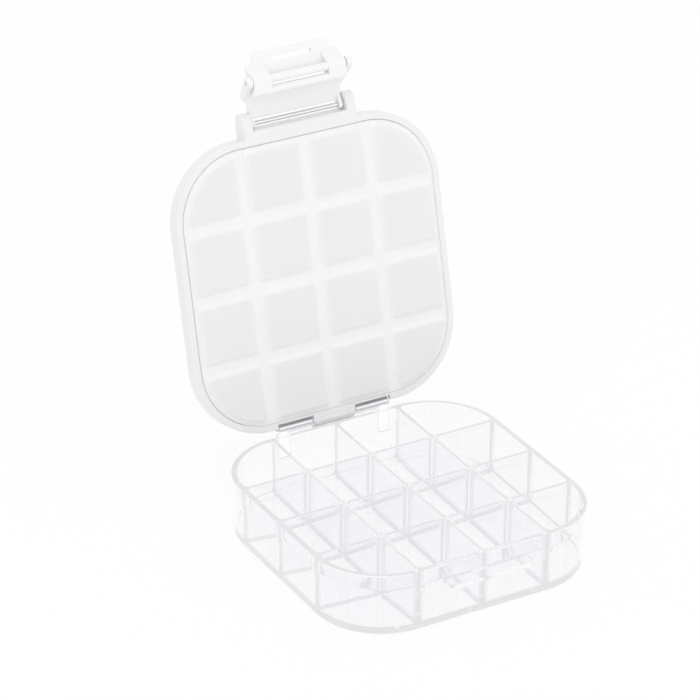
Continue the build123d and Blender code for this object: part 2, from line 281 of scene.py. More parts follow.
# %% White ABS
ABS_GRAIN = 0.35 * MM
ABS_IOR = 1.53


def white_abs(name, colour, roughness):
    """Opaque plastic of one colour, with soft gloss and a fine moulded grain as bump."""
    material, tree, output = new_material(name)
    place = add_node(tree, "ShaderNodeTexCoord")
    grain = add_node(tree, "ShaderNodeTexNoise", Vector=place.outputs["Object"], Scale=1 / ABS_GRAIN,
                     Detail=2.0, Roughness=0.5)
    bump = add_node(tree, "ShaderNodeBump", Height=grain.outputs["Fac"], Strength=0.10,
                    Distance=0.01 * MM)
    skin = add_node(tree, "ShaderNodeBsdfPrincipled", Normal=bump.outputs["Normal"],
                    Base_Color=linear(colour), Roughness=roughness, IOR=ABS_IOR)
    tree.links.new(skin.outputs["BSDF"], output.inputs["Surface"])
    return material


# %% [markdown]
# ## Silicone
# The pad is cast silicone, milky and slightly see-through, with a dead matt skin.
# Light goes in and comes out again nearby, so it looks softer than the hard white
# plastic round it. The thin channels are painted whiter than the thick squares. This is painted
# light that stands in for the white lid showing through thin silicone, and it also lifts the
# shade that falls in the channels.

# %% Silicone
SILICONE_DEPTH = 0.8 * MM
SILICONE_CLOUD = 30 * MM
SILICONE_THICK = ("ECECEC", "EEEEEE")
# Painted light: the whiter tone of the thin channels, which lifts the shade that falls in them.
SILICONE_THIN_PAINTED_LIGHT = "F7F7F7"
SILICONE_IOR = 1.41
SILICONE_ROUGHNESS = 0.55


def milky_silicone(hinge_y, hinge_z, lid_angle, sheet_level, square_height):
    """Light that spreads under the skin, faint clouds, and a tone that follows the thickness.

    A point is turned back by the lid's angle to the closed box. Its height under the
    sheet, over the squares' height, goes from 0 in the thin channels to 1 on the
    squares, and mixes the whiter tone of thin silicone with the greyer one of thick.
    The whiter tone is painted light: it lifts the shade in the channels and stands in
    for the lid's white showing through.
    """
    material, tree, output = new_material("silicone_cast")
    place = add_node(tree, "ShaderNodeTexCoord")
    cloud = add_node(tree, "ShaderNodeTexNoise", Vector=place.outputs["Object"],
                     Scale=1 / SILICONE_CLOUD, Detail=2.0)
    tone = add_node(tree, "ShaderNodeMix", {"data_type": "RGBA"}, Factor=cloud.outputs["Fac"])
    tone.inputs["A"].default_value = linear(SILICONE_THICK[0])
    tone.inputs["B"].default_value = linear(SILICONE_THICK[1])
    closed = add_node(tree, "ShaderNodeMapping", Vector=place.outputs["Object"])
    closed.inputs["Rotation"].default_value = (lid_angle, 0, 0)
    closed.inputs["Location"].default_value[2] = (
        hinge_z - hinge_y * sin(lid_angle) - hinge_z * cos(lid_angle) - sheet_level)
    height = add_node(tree, "ShaderNodeSeparateXYZ", Vector=closed.outputs["Vector"])
    thick = add_node(tree, "ShaderNodeMapRange", Value=height.outputs["Z"], From_Min=0.0,
                     From_Max=-square_height)
    # Painted light: the thin channels are mixed toward the whiter tone, which lifts their shade.
    depth = add_node(tree, "ShaderNodeMix", {"data_type": "RGBA"}, Factor=thick.outputs["Result"])
    depth.inputs["A"].default_value = linear(SILICONE_THIN_PAINTED_LIGHT)
    tree.links.new(tone.outputs["Result"], depth.inputs["B"])
    skin = add_node(tree, "ShaderNodeBsdfPrincipled", Base_Color=depth.outputs["Result"],
                    Roughness=SILICONE_ROUGHNESS, IOR=SILICONE_IOR, Subsurface_Weight=1.0,
                    Subsurface_Radius=(1.0, 1.0, 1.0), Subsurface_Scale=SILICONE_DEPTH)
    tree.links.new(skin.outputs["BSDF"], output.inputs["Surface"])
    return material


# %% [markdown]
# ## Steel wire
# The pins are bright drawn stainless wire. Drawing leaves very fine lines along the
# wire, which spread its highlight across it. The lines are drawn 0.25 mm wide, coarser
# than the real ones, so that they show.

# %% Steel
STEEL_TONE = "E0E0E2"
STEEL_ROUGHNESS = 0.22
LINE_WIDTH = 0.25 * MM
LINE_LENGTH = 25 * MM


def drawn_steel():
    """Metal with fine lines along X: noise stretched LINE_LENGTH by LINE_WIDTH, as bump."""
    material, tree, output = new_material("stainless_steel_drawn")
    place = add_node(tree, "ShaderNodeTexCoord")
    along = add_node(tree, "ShaderNodeMapping", Vector=place.outputs["Object"])
    along.inputs["Scale"].default_value = (1 / LINE_LENGTH, 1 / LINE_WIDTH, 1 / LINE_WIDTH)
    lines = add_node(tree, "ShaderNodeTexNoise", Vector=along.outputs["Vector"], Scale=1.0, Detail=2.0)
    bump = add_node(tree, "ShaderNodeBump", Height=lines.outputs["Fac"], Strength=0.15,
                    Distance=0.01 * MM)
    skin = add_node(tree, "ShaderNodeBsdfPrincipled", Normal=bump.outputs["Normal"],
                    Base_Color=linear(STEEL_TONE), Metallic=1.0, Roughness=STEEL_ROUGHNESS)
    tree.links.new(skin.outputs["BSDF"], output.inputs["Surface"])
    return material


CLEAR = clear_polystyrene()
LID_WHITE = white_abs("abs_white_moulded", "EDEDEE", 0.36)
LATCH_WHITE = white_abs("abs_white_latch", "F2F2F2", 0.28)
STEEL = drawn_steel()
print("materials", [m.name for m in (CLEAR, LID_WHITE, LATCH_WHITE, STEEL)])

# %% [markdown]
# ## The tray's outline
# Seen from above, the tray is a square with large round corners, and all of its
# walls are the same outline pushed in or out. A quarter of the tray is enough,
# because the other three are mirror images. Each quarter has four compartments, and
# each compartment's mouth is a loop of four sides with the same number of points, so
# that the flat top between two neighbours is a row of quads that match.

# %% Tray sizes
TRAY_HALF = 51.9 * MM
TRAY_HEIGHT = 23.6 * MM
TRAY_CORNER = 26.0 * MM
FLOOR = 2.6 * MM
RIM_WALL = 2.1 * MM
BAND_HEIGHT = 6.0 * MM
BAND_PROUD = 0.8 * MM
BAND_SLOPE = 1.4 * MM
DIVIDER = 1.4 * MM
POCKET_DRAFT = radians(0.8)
WALL_DRAFT = radians(0.5)
POCKET_CORNER = 1.6 * MM
TOP_ROUND = 0.35 * MM
FLOOR_ROUND = 1.2 * MM
RIM_ROUND = 0.5 * MM
BASE_ROUND = 1.5 * MM
SIDE_POINTS = 16
CORNER_POINTS = 4

inner_half = TRAY_HALF - RIM_WALL
pitch = (2 * inner_half + DIVIDER) / 4


def side_fractions():
    """Places along one side of a loop, closer together near its two ends."""
    near = np.linspace(0, 0.075, CORNER_POINTS + 1)
    middle = np.linspace(0.075, 0.925, SIDE_POINTS - 2 * CORNER_POINTS + 1)[1:-1]
    return np.concatenate([near, middle, 1 - near[::-1]])


def rounded_outline(half, corner, inset):
    """Quarter of the outline, from (half, 0) round to (0, half), as 4 * SIDE_POINTS + 1 points.

    On the two straight stretches one coordinate is half - inset; on the corner the
    point is the corner's centre plus (corner - inset) times (cos t, sin t). Where each
    point lies is fixed by its place on the outline with no inset.
    """
    centre = half - corner
    t = side_fractions()
    lower = t * pitch
    straight = centre - pitch
    length = straight + corner * pi / 4
    upper = t[1:] * length
    angle = np.clip((upper - straight) / corner, 0, None)
    y_low = np.concatenate([lower, pitch + np.minimum(upper, straight)])
    a_low = np.concatenate([np.zeros(len(lower)), angle])
    radius = corner - inset
    x = centre + radius * np.cos(a_low)
    y = np.where(a_low > 0, centre + radius * np.sin(a_low), y_low)
    first = np.stack([x, y], -1)
    return np.concatenate([first, first[::-1, ::-1][1:]])


def square_mouth(x0, x1, y0, y1, corner, inset):
    """Rounded rectangle as one loop of 4 * SIDE_POINTS + 1 points, from the middle of its
    first corner round and back. Every side starts and ends with half a corner arc."""
    x0, x1, y0, y1 = x0 + inset, x1 - inset, y0 + inset, y1 - inset
    r = max(corner - inset, 0.2 * MM)
    half_arc = np.linspace(0, pi / 4, CORNER_POINTS + 1)
    straight = np.linspace(0, 1, SIDE_POINTS - 2 * CORNER_POINTS + 1)
    loops = []
    corners = [(x0 + r, y0 + r), (x1 - r, y0 + r), (x1 - r, y1 - r), (x0 + r, y1 - r)]
    for k in range(4):
        start = -3 * pi / 4 + k * pi / 2
        here = np.array(corners[k])
        there = np.array(corners[(k + 1) % 4])
        a = start + half_arc
        out = here + r * np.stack([np.cos(a), np.sin(a)], -1)
        b = start + pi / 4 + half_arc
        into = there + r * np.stack([np.cos(b), np.sin(b)], -1)
        run = out[-1] + straight[1:-1, None] * (into[0] - out[-1])
        loops.append(np.concatenate([out, run, into])[:-1])
    loop = np.concatenate(loops)
    return np.concatenate([loop, loop[:1]])


def corner_mouth(x0, y0, half, corner, small, inset):
    """Mouth of a corner compartment: two divider sides and a quarter of the round wall.

    The wall is an arc about (half - corner, half - corner). A small arc joins it to each
    divider; its centre lies on both offsets, so it is tangent to the two.
    """
    x0, y0 = x0 + inset, y0 + inset
    r = max(small - inset, 0.2 * MM)
    centre = half - corner
    big = corner - inset
    joint = centre + np.sqrt((big - r) ** 2 - (y0 + r - centre) ** 2)
    meet = np.arctan2(y0 + r - centre, joint - centre)
    half_arc = np.linspace(0, 1, CORNER_POINTS + 1)
    straight = np.linspace(0, 1, SIDE_POINTS - 2 * CORNER_POINTS + 1)

    def arc(cx, cy, radius, start, end):
        """Centre plus radius times (cos a, sin a), for a from start to end."""
        a = start + (end - start) * half_arc
        return np.stack([cx + radius * np.cos(a), cy + radius * np.sin(a)], -1)

    middle = (-pi / 2 + meet) / 2
    first = arc(x0 + r, y0 + r, r, -3 * pi / 4, -pi / 2)
    last = arc(joint, y0 + r, r, -pi / 2, middle)
    run = first[-1] + straight[1:-1, None] * (last[0] - first[-1])
    bottom = np.concatenate([first, run, last])
    up = arc(joint, y0 + r, r, middle, meet)
    sweep = meet + (pi / 4 - meet) * np.linspace(0, 1, SIDE_POINTS - CORNER_POINTS + 1)[1:]
    wall = centre + big * np.stack([np.cos(sweep), np.sin(sweep)], -1)
    right = np.concatenate([up, wall])
    sides = [bottom, right, right[::-1, ::-1], bottom[::-1, ::-1]]
    loop = np.concatenate([side[:-1] for side in sides])
    return np.concatenate([loop, loop[:1]])


def region_loop(a, b, half, corner, inset):
    """Boundary of compartment (a, b) on the flat top, matched point by point to its mouth."""
    t = side_fractions()
    outline = rounded_outline(half, corner, inset)
    n = SIDE_POINTS
    edge = half - inset
    crossing = (pitch, pitch)

    def line(start, end):
        """Points from start to end, t of the way along."""
        return np.array(start) + t[:, None] * (np.array(end) - np.array(start))

    if (a, b) == (0, 0):
        sides = [line((0, 0), (pitch, 0)), line((pitch, 0), crossing),
                 line(crossing, (0, pitch)), line((0, pitch), (0, 0))]
    elif (a, b) == (1, 0):
        sides = [line((pitch, 0), (edge, 0)), outline[:n + 1],
                 line(outline[n], crossing), line(crossing, (pitch, 0))]
    elif (a, b) == (0, 1):
        sides = [line((0, pitch), crossing), line(crossing, outline[3 * n]),
                 outline[3 * n:], line((0, edge), (0, pitch))]
    else:
        sides = [line(crossing, outline[n]), outline[n:2 * n + 1],
                 outline[2 * n:3 * n + 1], line(outline[3 * n], crossing)]
    loop = np.concatenate([side[:-1] for side in sides])
    return np.concatenate([loop, loop[:1]])


def mouth(a, b, half, corner, gap, small, inset):
    """Mouth of compartment (a, b), pushed in by inset."""
    x0 = a * pitch + gap / 2
    y0 = b * pitch + gap / 2
    if (a, b) == (1, 1):
        return corner_mouth(x0, y0, half, corner, small, inset)
    x1 = half if a else pitch - gap / 2
    y1 = half if b else pitch - gap / 2
    return square_mouth(x0, x1, y0, y1, small, inset)


def level(loop, z):
    """A flat loop as points in space at height z."""
    return np.concatenate([loop, np.full((len(loop), 1), z)], -1)


def quarter_turn(steps):
    """Sine and one minus cosine of a quarter turn, for rounding an edge."""
    t = np.linspace(0, pi / 2, steps + 1)
    return np.sin(t), 1 - np.cos(t)


def four_quarters(grids):
    """The grids of the first quarter and their three mirror images."""
    everything = []
    for sx, sy in ((1, 1), (-1, 1), (-1, -1), (1, -1)):
        for grid in grids:
            copy = grid * np.array([sx, sy, 1.0])
            everything.append(copy if sx * sy > 0 else copy[:, ::-1])
    return everything


# %% [markdown]
# ## The tray itself
# The wall, rim and base are one profile carried round the outline. Every
# compartment is the same kind of surface: its mouth carried down a profile that
# starts with a small round-over, runs down the drafted wall and turns through a
# fillet into the floor. Nothing is cut, so every edge is as round as its profile.

# %% Build the tray
def outer_profile():
    """Inset and height of the outside, from the flat top round to the underside."""
    turn, drop = quarter_turn(4)
    rim = [(RIM_ROUND * (1 - s), TRAY_HEIGHT - RIM_ROUND * d) for s, d in zip(turn, drop)]
    band_low = TRAY_HEIGHT - BAND_HEIGHT
    band = [(0.0, band_low + BAND_SLOPE), (BAND_PROUD, band_low)]
    base_inset = BAND_PROUD + band_low * np.tan(WALL_DRAFT)
    turn, drop = quarter_turn(6)
    base = [(base_inset + BASE_ROUND * d, BASE_ROUND * (1 - s)) for s, d in zip(turn, drop)]
    return rim + band + base


def pocket_profile():
    """Inset and height of a compartment's wall, from the flat top down to its floor."""
    turn, drop = quarter_turn(3)
    lip = [(-TOP_ROUND * (1 - s), TRAY_HEIGHT - TOP_ROUND * d) for s, d in zip(turn, drop)]
    depth = TRAY_HEIGHT - TOP_ROUND - FLOOR - FLOOR_ROUND
    wall_inset = depth * np.tan(POCKET_DRAFT)
    turn, drop = quarter_turn(6)
    foot = [(wall_inset + FLOOR_ROUND * d, FLOOR + FLOOR_ROUND * (1 - s)) for s, d in zip(turn, drop)]
    return lip + foot


def closing_rings(ring, centre, steps=3):
    """Flat rings that shrink from a loop to its centre."""
    factors = np.linspace(1, 0, steps + 1)
    return centre + factors[:, None, None] * (ring - centre)


def tray_grids():
    """Every grid of the first quarter of the tray."""
    profile = outer_profile()
    wall = np.stack([level(rounded_outline(TRAY_HALF, TRAY_CORNER, d), z) for d, z in profile])
    grids = [wall, closing_rings(wall[-1], np.array([0.0, 0.0, 0.0]), 4)]
    inner_corner = TRAY_CORNER - RIM_WALL
    for a in (0, 1):
        for b in (0, 1):
            rings = np.stack([
                level(mouth(a, b, inner_half, inner_corner, DIVIDER, POCKET_CORNER, d), z)
                for d, z in pocket_profile()
            ])
            top = level(region_loop(a, b, TRAY_HALF, TRAY_CORNER, RIM_ROUND), TRAY_HEIGHT)
            grids.append(np.stack([top, rings[0]]))
            grids.append(rings)
            grids.append(closing_rings(rings[-1], rings[-1][:-1].mean(0)))
    return grids


tray = make_object("clear_tray", *join_grids(four_quarters(tray_grids())))
report(tray)

# %% [markdown]
# ## Catch and hinge ears
# The catch on the front wall and the two ears at the back are moulded in one with
# the tray. Each is a side profile carried along X, with its ends slightly rounded,
# and a boolean union joins them to the tray, so that no wall is left inside the clear
# plastic.

# %% Extruded profiles
EAR_SPACING = 40.5 * MM
EAR_WIDTH = 4.5 * MM
HINGE_Y = TRAY_HALF + 1.0 * MM
HINGE_Z = TRAY_HEIGHT + 2.2 * MM
KNUCKLE_RADIUS = 2.1 * MM
BARREL_START = 8.7 * MM
BARREL_STEP = 0.05 * MM
EAR_DROP = 8.0 * MM
CATCH_UNDER = 16.2 * MM
CATCH_TOP = 17.9 * MM
CATCH_HALF = 16.4 * MM
CATCH_LIP_HALF = 13.5 * MM
CATCH_LIP_DEPTH = 0.6 * MM
CATCH_LIP = 0.6 * MM
BODY_HALF = TRAY_HALF - BAND_PROUD
HOOK_OUT = 3.7 * MM
HOOK_RADIUS = 1.5 * MM
HOOK_GAP = 0.15 * MM
CATCH_FRONT = -(BODY_HALF + HOOK_OUT + HOOK_RADIUS + HOOK_GAP + CATCH_LIP)
CATCH_CORNER = 2.4 * MM
PANEL_HEIGHT = 8.8 * MM
PANEL_PROUD = 0.4 * MM
ROOT = 0.7 * MM


def circle(y, z, radius, steps=48):
    """Points round a circle: centre plus radius times (cos t, sin t)."""
    t = np.linspace(0, 2 * pi, steps, endpoint=False)
    return np.stack([y + radius * np.cos(t), z + radius * np.sin(t)], -1)


def hull_of_circles(circles, steps=64):
    """Outline round several circles (y, z, radius): for each direction, the furthest point.

    The support function of a circle is the centre's reach in that direction plus its
    radius, and the outline takes the circle with the largest one.
    """
    angle = np.linspace(0, 2 * pi, steps, endpoint=False)
    direction = np.stack([np.cos(angle), np.sin(angle)], -1)
    table = np.array(circles)
    reach = direction @ table[:, :2].T + table[:, 2]
    best = reach.argmax(1)
    return table[best, :2] + table[best, 2][:, None] * direction


def rounded_corners(corners, steps=5):
    """Outline from corners (u, v, radius): each corner becomes an arc that both sides touch.

    The arc's centre lies on the bisector, radius / sin(half angle) from the corner.
    """
    table = np.array(corners, dtype=float)
    spots = table[:, :2]
    arcs = []
    for k in range(len(table)):
        spot = spots[k]
        radius = table[k, 2]
        if radius == 0:
            arcs.append(spot[None])
            continue
        back = spots[k - 1] - spot
        ahead = spots[(k + 1) % len(table)] - spot
        back = back / np.linalg.norm(back)
        ahead = ahead / np.linalg.norm(ahead)
        half_turn = np.arccos(np.clip(back @ ahead, -1, 1)) / 2
        middle = (back + ahead) / np.linalg.norm(back + ahead)
        centre = spot + middle * radius / np.sin(half_turn)
        reach = radius / np.tan(half_turn)
        first = spot + back * reach - centre
        last = spot + ahead * reach - centre
        t = np.linspace(0, 1, steps + 1)[:, None]
        chord = first * (1 - t) + last * t
        arcs.append(centre + radius * chord / np.linalg.norm(chord, axis=1, keepdims=True))
    return np.concatenate(arcs)


def both_sides(corners):
    """Outline from the corners of its left half, which are mirrored for the right half."""
    return rounded_corners(corners + [(-u, v, radius) for u, v, radius in corners[::-1]])


def pushed_in(outline, depth):
    """The outline moved in by depth: each point goes along the mean normal of its two
    sides, by depth over the cosine of half the turn, so that both sides move by depth."""
    u, v = outline[:, 0], outline[:, 1]
    turning = np.sum(u * np.roll(v, -1) - v * np.roll(u, -1))
    ahead = np.roll(outline, -1, 0) - outline
    ahead = ahead / np.linalg.norm(ahead, axis=1, keepdims=True)
    normal = np.stack([ahead[:, 1], -ahead[:, 0]], -1) * np.sign(turning)
    before = np.roll(normal, 1, 0)
    mean = normal + before
    mean = mean / np.linalg.norm(mean, axis=1, keepdims=True)
    stretch = 1 / np.maximum((mean * normal).sum(1, keepdims=True), 0.4)
    return outline - depth * mean * stretch


def prism(outline, low, high, along="x", edge=0.25 * MM):
    """A closed outline carried from low to high along one axis, with both end edges rounded.

    Near each end the outline moves in by the edge radius times one minus the sine of a
    quarter turn, and the flat end closes on its middle. The outline's two columns are the
    two other axes, in the order x, y, z.
    """
    turn, drop = quarter_turn(3)
    steps = [(low + edge * (1 - s), edge * d) for s, d in zip(turn, drop)][::-1]
    steps += [(high - edge * (1 - s), edge * d) for s, d in zip(turn, drop)]
    rings = [(place, pushed_in(outline, depth)) for place, depth in steps]
    middle = outline.mean(0, keepdims=True).repeat(len(outline), 0)
    rings = [(low, middle)] + rings + [(high, middle)]
    axis = "xyz".index(along)
    grid = np.stack([np.insert(ring, axis, place, axis=1) for place, ring in rings])
    return np.concatenate([grid, grid[:, :1]], 1)


def join_into(target, cutter, operation="UNION"):
    """Joins or cuts with a boolean modifier, applies it and removes the second mesh."""
    change = target.modifiers.new("change", "BOOLEAN")
    change.operation = operation
    change.solver = "MANIFOLD"
    change.object = cutter
    bpy.context.view_layer.objects.active = target
    bpy.ops.object.modifier_apply(modifier=change.name)
    bpy.data.objects.remove(cutter)


# The barrel beside each ear is of clear plastic too, so the steel wire shows in it.
for side in (-1, 1):
    middle = side * EAR_SPACING / 2
    outline = hull_of_circles([
        (HINGE_Y, HINGE_Z, KNUCKLE_RADIUS),
        (TRAY_HALF - 0.8 * MM, TRAY_HEIGHT - EAR_DROP, 0.8 * MM),
    ])
    ear = prism(outline, middle - EAR_WIDTH / 2, middle + EAR_WIDTH / 2)
    join_into(tray, make_object("ear", *join_grids([ear])))
    barrel = prism(circle(HINGE_Y, HINGE_Z, KNUCKLE_RADIUS - BARREL_STEP),
                   *sorted((side * BARREL_START, side * (EAR_SPACING / 2))))
    join_into(tray, make_object("barrel", *join_grids([barrel])))
report(tray)


def catch_shelf():
    """Shelf whose front corners are rounded: the plan outline carried up from underside to top."""
    corner = CATCH_CORNER
    back = -(BODY_HALF - ROOT)
    a = np.linspace(pi, 1.5 * pi, 9)
    left = np.stack([-CATCH_HALF + corner + corner * np.cos(a),
                     CATCH_FRONT + corner + corner * np.sin(a)], -1)
    right = left[::-1] * np.array([-1, 1])
    plan = np.concatenate([left, right, [[CATCH_HALF, back], [-CATCH_HALF, back]]])
    centre = plan.mean(0)
    arms = plan - centre
    length = np.linalg.norm(arms, axis=1, keepdims=True)
    edge = 0.3 * MM
    turn, drop = quarter_turn(3)
    rows = [(CATCH_UNDER + edge * d, 1 - s) for s, d in zip(turn, drop)]
    rows += [(CATCH_TOP - edge * d, 1 - s) for s, d in zip(turn[::-1], drop[::-1])]
    rings = [level(centre + arms * (1 - edge * p / length), z) for z, p in rows]
    low = np.tile([*centre, CATCH_UNDER], (len(plan), 1))
    high = np.tile([*centre, CATCH_TOP], (len(plan), 1))
    grid = np.stack([low] + rings + [high])
    return np.concatenate([grid, grid[:, :1]], 1)


def catch_panel():
    """Raised panel under the shelf, whose two ends curve in: a grid in X and Z, thin in Y."""
    z = np.linspace(CATCH_UNDER + 0.2 * MM, CATCH_UNDER + 0.2 * MM - PANEL_HEIGHT, 13)
    t = (z[0] - z) / PANEL_HEIGHT
    half = CATCH_HALF - 0.1 * MM - (CATCH_HALF - 10.6 * MM) * np.sin(t * pi / 2) ** 0.8
    x = half[:, None] * np.linspace(-1, 1, 9)[None, :]
    zz = np.repeat(z[:, None], 9, 1)
    front = np.stack([x, np.full_like(x, -(BODY_HALF + PANEL_PROUD)), zz], -1)
    back = np.stack([x, np.full_like(x, -(BODY_HALF - ROOT)), zz], -1)
    left = np.stack([front[:, 0], back[:, 0]], 1)
    right = np.stack([front[:, -1], back[:, -1]], 1)
    top = np.stack([front[0], back[0]], 0)
    bottom = np.stack([front[-1], back[-1]], 0)
    return [front, back, left, right, top, bottom]


def box_grids(low, high):
    """Six flat grids of a box: its eight corners as a 2 by 2 by 2 block, and the block's faces."""
    corners = np.stack(np.meshgrid(*zip(low, high), indexing="ij"), -1)
    return [np.take(corners, k, axis) for k in (0, 1) for axis in (2, 1, 0)]


lip_low = (-CATCH_LIP_HALF, CATCH_FRONT, CATCH_UNDER - CATCH_LIP_DEPTH)
lip_high = (CATCH_LIP_HALF, CATCH_FRONT + CATCH_LIP, CATCH_UNDER + 0.4 * MM)
catch = (("panel", catch_panel()), ("shelf", [catch_shelf()]), ("lip", box_grids(lip_low, lip_high)))
for name, grids in catch:
    piece = make_object(name, *join_grids(grids))
    report(piece)
    join_into(tray, piece)
report(tray)
soften(tray)
tray.data.materials.clear()
tray.data.materials.append(CLEAR)
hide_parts("tray")
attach(tray, "tray")

# %% [markdown]
# ## The lid stands open
# The lid, its pad and the latch are worked out as they lie on the closed box, where
# every face is level or upright, and are then turned about their hinges to where they
# rest. One function turns points about a line along X, and one call for each body
# chains the turns that carry it.

# %% Hinges and turns
LID_HALF = TRAY_HALF + 0.5 * MM
LID_CORNER = TRAY_CORNER + 1.0 * MM
LID_FACE = TRAY_HEIGHT + 0.15 * MM
LID_THICKNESS = 6.6 * MM
LID_TOP = LID_FACE + LID_THICKNESS
# A is the yoke pin's axis, B the lever pin's and C the hook bar's, on the closed box.
YOKE_PIN_OUT = 4.7 * MM
HOOK_DROP = 0.2 * MM
LEVER_THROW = 3.8 * MM
PAST_CENTRE = 0.3 * MM
A_Y = -(LID_HALF + YOKE_PIN_OUT)
A_Z = LID_FACE + LID_THICKNESS / 2
C_Y = -(BODY_HALF + HOOK_OUT)
C_Z = CATCH_UNDER - HOOK_DROP - HOOK_RADIUS
pull = np.array([C_Y - A_Y, C_Z - A_Z])
pull = pull / np.linalg.norm(pull)
B_Y = C_Y + LEVER_THROW * pull[0] - PAST_CENTRE * pull[1]
B_Z = C_Z + LEVER_THROW * pull[1] + PAST_CENTRE * pull[0]
LID_OPEN = radians(103.5)
YOKE_OPEN = radians(81.5)
LEVER_OPEN = radians(25.0)


def turned(points, y, z, angle):
    """Points turned by angle about the line along X through (y, z)."""
    dy = points[..., 1] - y
    dz = points[..., 2] - z
    return np.stack([points[..., 0], y + dy * cos(angle) - dz * sin(angle),
                     z + dy * sin(angle) + dz * cos(angle)], -1)


def with_lid(points):
    """From the closed box to the open lid."""
    return turned(points, HINGE_Y, HINGE_Z, -LID_OPEN)


def with_yoke(points):
    """From the closed box to the yoke at rest, which hangs on the lid."""
    return with_lid(turned(points, A_Y, A_Z, -YOKE_OPEN))


def with_lever(points):
    """From the closed box to the lever at rest, which turns in the yoke."""
    return with_yoke(turned(points, B_Y, B_Z, -LEVER_OPEN))


def built(name, grids, carry):
    """Mesh object from grids on the closed box, carried to where they rest."""
    points, quads = join_grids(grids)
    return make_object(name, carry(points), quads)


def join_prism(target, carry, operation, outline, low, high, **shape):
    """Joins a prism to a piece, or cuts it out, where carry takes it to rest."""
    join_into(target, built("prism", [prism(outline, low, high, **shape)], carry), operation)


def finish(thing, material, node, body):
    """Shading, material and the record's names for a finished piece."""
    soften(thing)
    thing.data.materials.clear()
    thing.data.materials.append(material)
    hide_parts(node)
    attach(thing, body)
    report(thing)


print("latch axes mm", [round(v / MM, 3) for v in (A_Y, A_Z, B_Y, B_Z, C_Y, C_Z)])

# %% [markdown]
# ## The lid
# The lid is one profile carried round the rounded square: a round outer edge, a rim
# face that lands on the box, and a recess for the pad. The boss for the latch, its two
# ears and the hinge knuckle are side profiles carried along X and joined on.

# %% Build the lid
LID_RIM_FACE = 2.5 * MM
LID_ROUND = 1.8 * MM
LID_SMALL_ROUND = 0.4 * MM
PAD_SEAT = LID_FACE + 2.3 * MM
BOSS_HALF = 22.3 * MM
BOSS_REACH = 2.75 * MM
LATCH_EAR = 3.7 * MM
KNUCKLE_HALF = 8.4 * MM
NIB_RADIUS = 2.8 * MM
# A bore is as wide as its wire where the wire is pressed in, and 0.05 mm more in radius
# where a piece turns on it.
HINGE_BORE = 0.95 * MM
PRESSED_BORE = 0.8 * MM
RUNNING_BORE = 0.85 * MM
FLUSH = 0.02 * MM
SHARP = 0.01 * MM


def lid_profile():
    """Inset and height of the lid, from the recess's floor over the rim face to the top."""
    turn, drop = quarter_turn(4)
    recess = [(LID_RIM_FACE, PAD_SEAT)]
    r = LID_SMALL_ROUND
    recess += [(LID_RIM_FACE - r * d, LID_FACE + r * (1 - s)) for s, d in zip(turn, drop)]
    rim = [(r * (1 - s), LID_FACE + r * d) for s, d in zip(turn, drop)]
    turn, drop = quarter_turn(8)
    crown = [(LID_ROUND * d, LID_TOP - LID_ROUND * (1 - s)) for s, d in zip(turn, drop)]
    return recess + rim + crown


def lid_grids():
    """The lid's shell as a quarter and its mirror images."""
    rings = np.stack([level(rounded_outline(LID_HALF, LID_CORNER, d), z) for d, z in lid_profile()])
    seat = closing_rings(rings[0], np.array([0.0, 0.0, PAD_SEAT]), 4)
    top = closing_rings(rings[-1], np.array([0.0, 0.0, LID_TOP]), 4)
    return four_quarters([rings, seat, top])


lid = built("white_lid", lid_grids(), with_lid)
boss = rounded_corners([
    (-LID_HALF - BOSS_REACH, LID_FACE + FLUSH, 0.6 * MM),
    (-LID_HALF + 1.2 * MM, LID_FACE + FLUSH, 0),
    (-LID_HALF + 1.2 * MM, LID_TOP - FLUSH, 0),
    (-LID_HALF - BOSS_REACH, LID_TOP - FLUSH, 0.6 * MM),
])
join_prism(lid, with_lid, "UNION", boss, -BOSS_HALF + FLUSH, BOSS_HALF - FLUSH, edge=0.3 * MM)
latch_ear = hull_of_circles([
    (A_Y, A_Z, 3.15 * MM),
    (-LID_HALF, A_Z, 3.15 * MM),
    (A_Y - 1.5 * MM, A_Z, 2.7 * MM),
])
for side in (-1, 1):
    ends = sorted((side * BOSS_HALF, side * (BOSS_HALF - LATCH_EAR)))
    join_prism(lid, with_lid, "UNION", latch_ear, *ends, edge=0.35 * MM)
notch = hull_of_circles([
    (HINGE_Y, HINGE_Z, 2.35 * MM),
    (HINGE_Y - 2.3 * MM, HINGE_Z - 4.65 * MM, 0.05 * MM),
    (HINGE_Y + 2.3 * MM, HINGE_Z - 4.65 * MM, 0.05 * MM),
])
for side in (-1, 1):
    ends = sorted((side * (KNUCKLE_HALF - FLUSH), side * (EAR_SPACING / 2 + EAR_WIDTH / 2 + 0.3 * MM)))
    join_prism(lid, with_lid, "DIFFERENCE", notch, *ends, edge=SHARP)
arm = LID_RIM_FACE / 2
knuckle = hull_of_circles([
    (HINGE_Y, HINGE_Z, KNUCKLE_RADIUS),
    (LID_HALF - arm, HINGE_Z + KNUCKLE_RADIUS, arm - LID_SMALL_ROUND),
    (LID_HALF - arm, LID_FACE + arm, arm - LID_SMALL_ROUND),
])
join_prism(lid, with_lid, "UNION", knuckle, -KNUCKLE_HALF, KNUCKLE_HALF)


def stop_nib():
    """The nib that stops the open lid on the tray's rim, as the lid stands at rest.

    A slice of a disc round the hinge, between two upright lines, above its lower arc.
    """
    y = np.linspace(TRAY_HALF + 0.05 * MM, TRAY_HALF + 1.35 * MM, 9)
    z = HINGE_Z - np.sqrt(NIB_RADIUS ** 2 - (y - HINGE_Y) ** 2)
    arc = np.stack([y, z], -1)
    return np.concatenate([arc, [[y[-1], HINGE_Z], [y[0], HINGE_Z]]])


